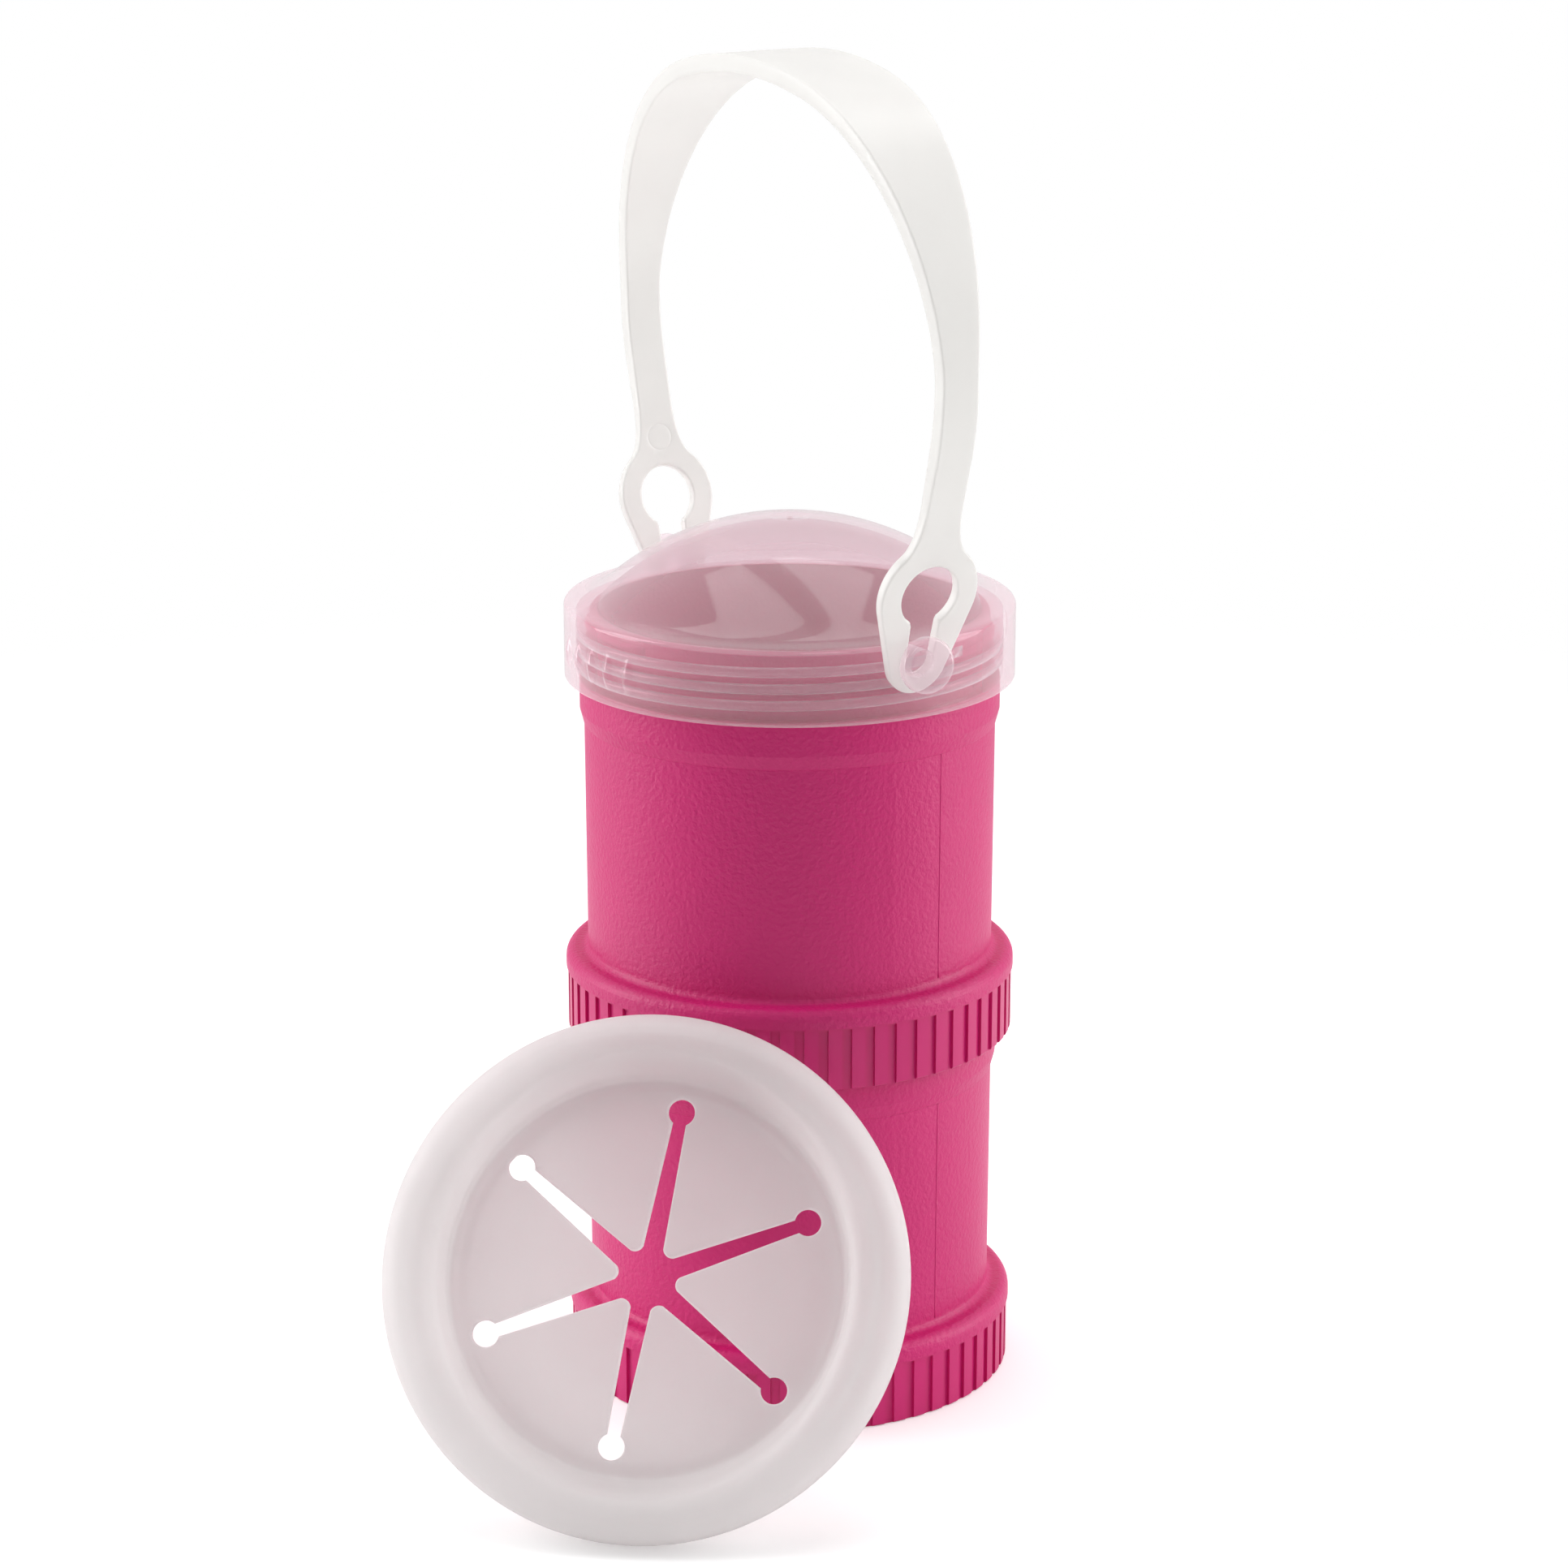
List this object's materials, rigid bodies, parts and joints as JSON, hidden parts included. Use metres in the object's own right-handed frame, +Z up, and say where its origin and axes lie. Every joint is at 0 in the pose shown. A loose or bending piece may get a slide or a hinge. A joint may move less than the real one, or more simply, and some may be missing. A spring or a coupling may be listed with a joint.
{
  "type": "toddler snack container",
  "caption": "Stack of screw-together snack pods with a domed travel lid, an arched carry strap that snaps over two studs, and a soft slotted lid that lets small fingers reach in.",
  "frame": {"origin": "on the stack's axis at the foot of the lower pod's collar, which is the floor", "axes": "+Z up along the stack's axis, X along the axis of the two strap studs"},
  "size_m": [0.1394, 0.1376, 0.2445],
  "materials": {
    "pod_plastic": "fine moulded grain, satin ribs",
    "lid_plastic": "clear gloss with a faint haze",
    "strap_plastic": "milky translucent, smooth",
    "soft_cap": "milky translucent, soft satin"
  },
  "bodies": {
    "lower_pod": {"lower_pod": "pod_plastic"},
    "upper_pod": {"upper_pod": "pod_plastic"},
    "travel_lid": {"travel_lid": "lid_plastic"},
    "carry_strap": {"carry_strap": "strap_plastic"},
    "snack_lid": {"snack_lid": "soft_cap"}
  },
  "joints": [
    {"name": "upper_pod_lift", "type": "slide", "parent": "lower_pod", "child": "upper_pod", "axis": [0, 0, 1], "range_m": [0, 0.03]},
    {"name": "travel_lid_lift", "type": "slide", "parent": "upper_pod", "child": "travel_lid", "axis": [0, 0, 1], "range_m": [0, 0.03]},
    {"name": "strap_swing", "type": "hinge", "parent": "travel_lid", "child": "carry_strap", "pos_m": [0, 0, 0.144], "axis": [1, 0, 0], "range_deg": [-150, 120]},
    {"name": "snack_lid_away", "type": "slide", "parent": "lower_pod", "child": "snack_lid", "axis": [0.8241, -0.5664, 0], "range_m": [0, 0.05]}
  ]
}
